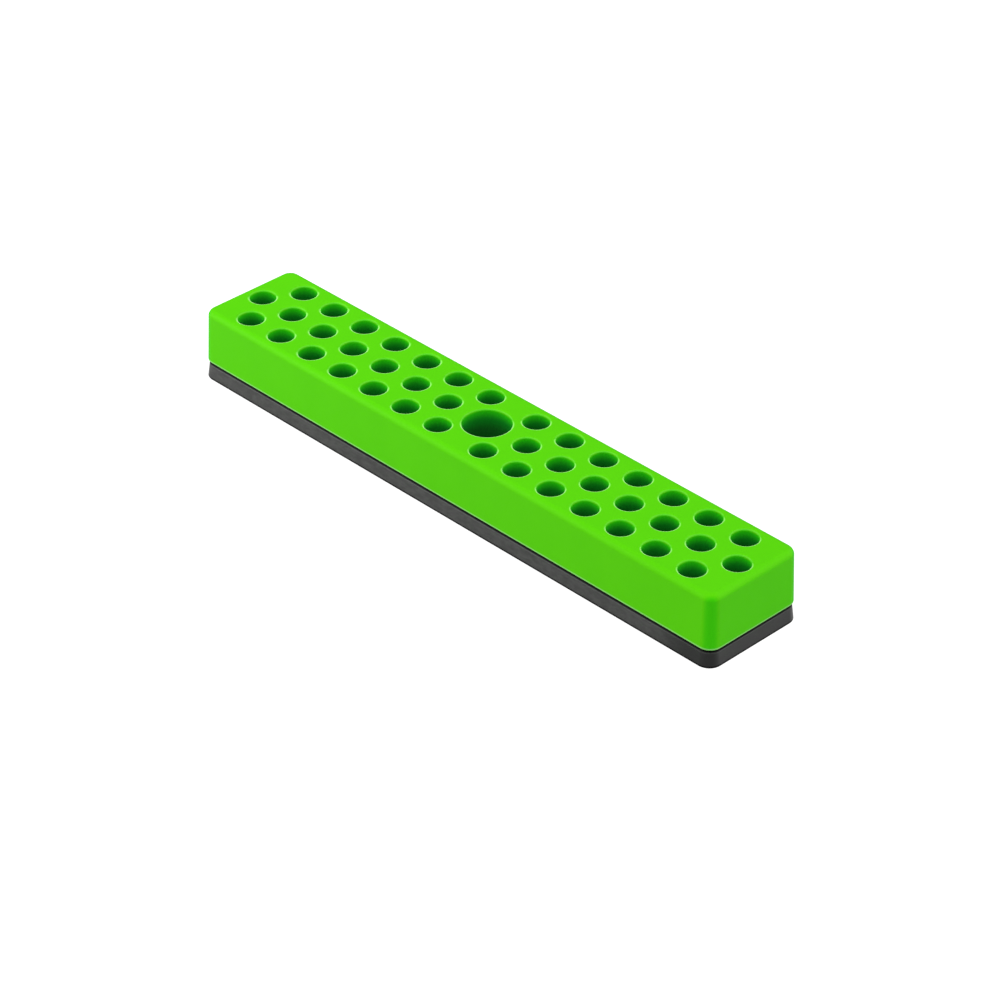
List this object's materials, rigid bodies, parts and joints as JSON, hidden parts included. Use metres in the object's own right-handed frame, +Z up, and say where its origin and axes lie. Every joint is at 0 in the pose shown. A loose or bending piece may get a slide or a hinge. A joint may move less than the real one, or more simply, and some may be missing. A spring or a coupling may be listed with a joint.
{
  "type": "magnetic bit holder",
  "caption": "Long green plastic block with rows of upright holes for hexagon bits, on a dark low tray with a steel strip and magnets inside.",
  "frame": {"origin": "the middle of the tray's underside, on the surface that the holder stands on", "axes": "+X along the rows of holes, +Z up out of the holes, +Y across the holder; the holder is the same both ways round"},
  "size_m": [0.1976, 0.0344, 0.0221],
  "materials": {
    "green_plastic": "satin moulded",
    "tray_plastic": "matte textured",
    "strip_steel": "zinc plated",
    "magnet_ferrite": "ground sintered",
    "screw_steel": "zinc plated"
  },
  "bodies": {
    "root": {"hole_block": "green_plastic", "base_tray": "tray_plastic", "steel_strip": "strip_steel", "base_screws": "screw_steel", "magnet_1": "magnet_ferrite", "magnet_2": "magnet_ferrite", "magnet_3": "magnet_ferrite", "magnet_4": "magnet_ferrite", "magnet_5": "magnet_ferrite", "magnet_6": "magnet_ferrite", "magnet_7": "magnet_ferrite", "magnet_8": "magnet_ferrite"}
  },
  "joints": []
}
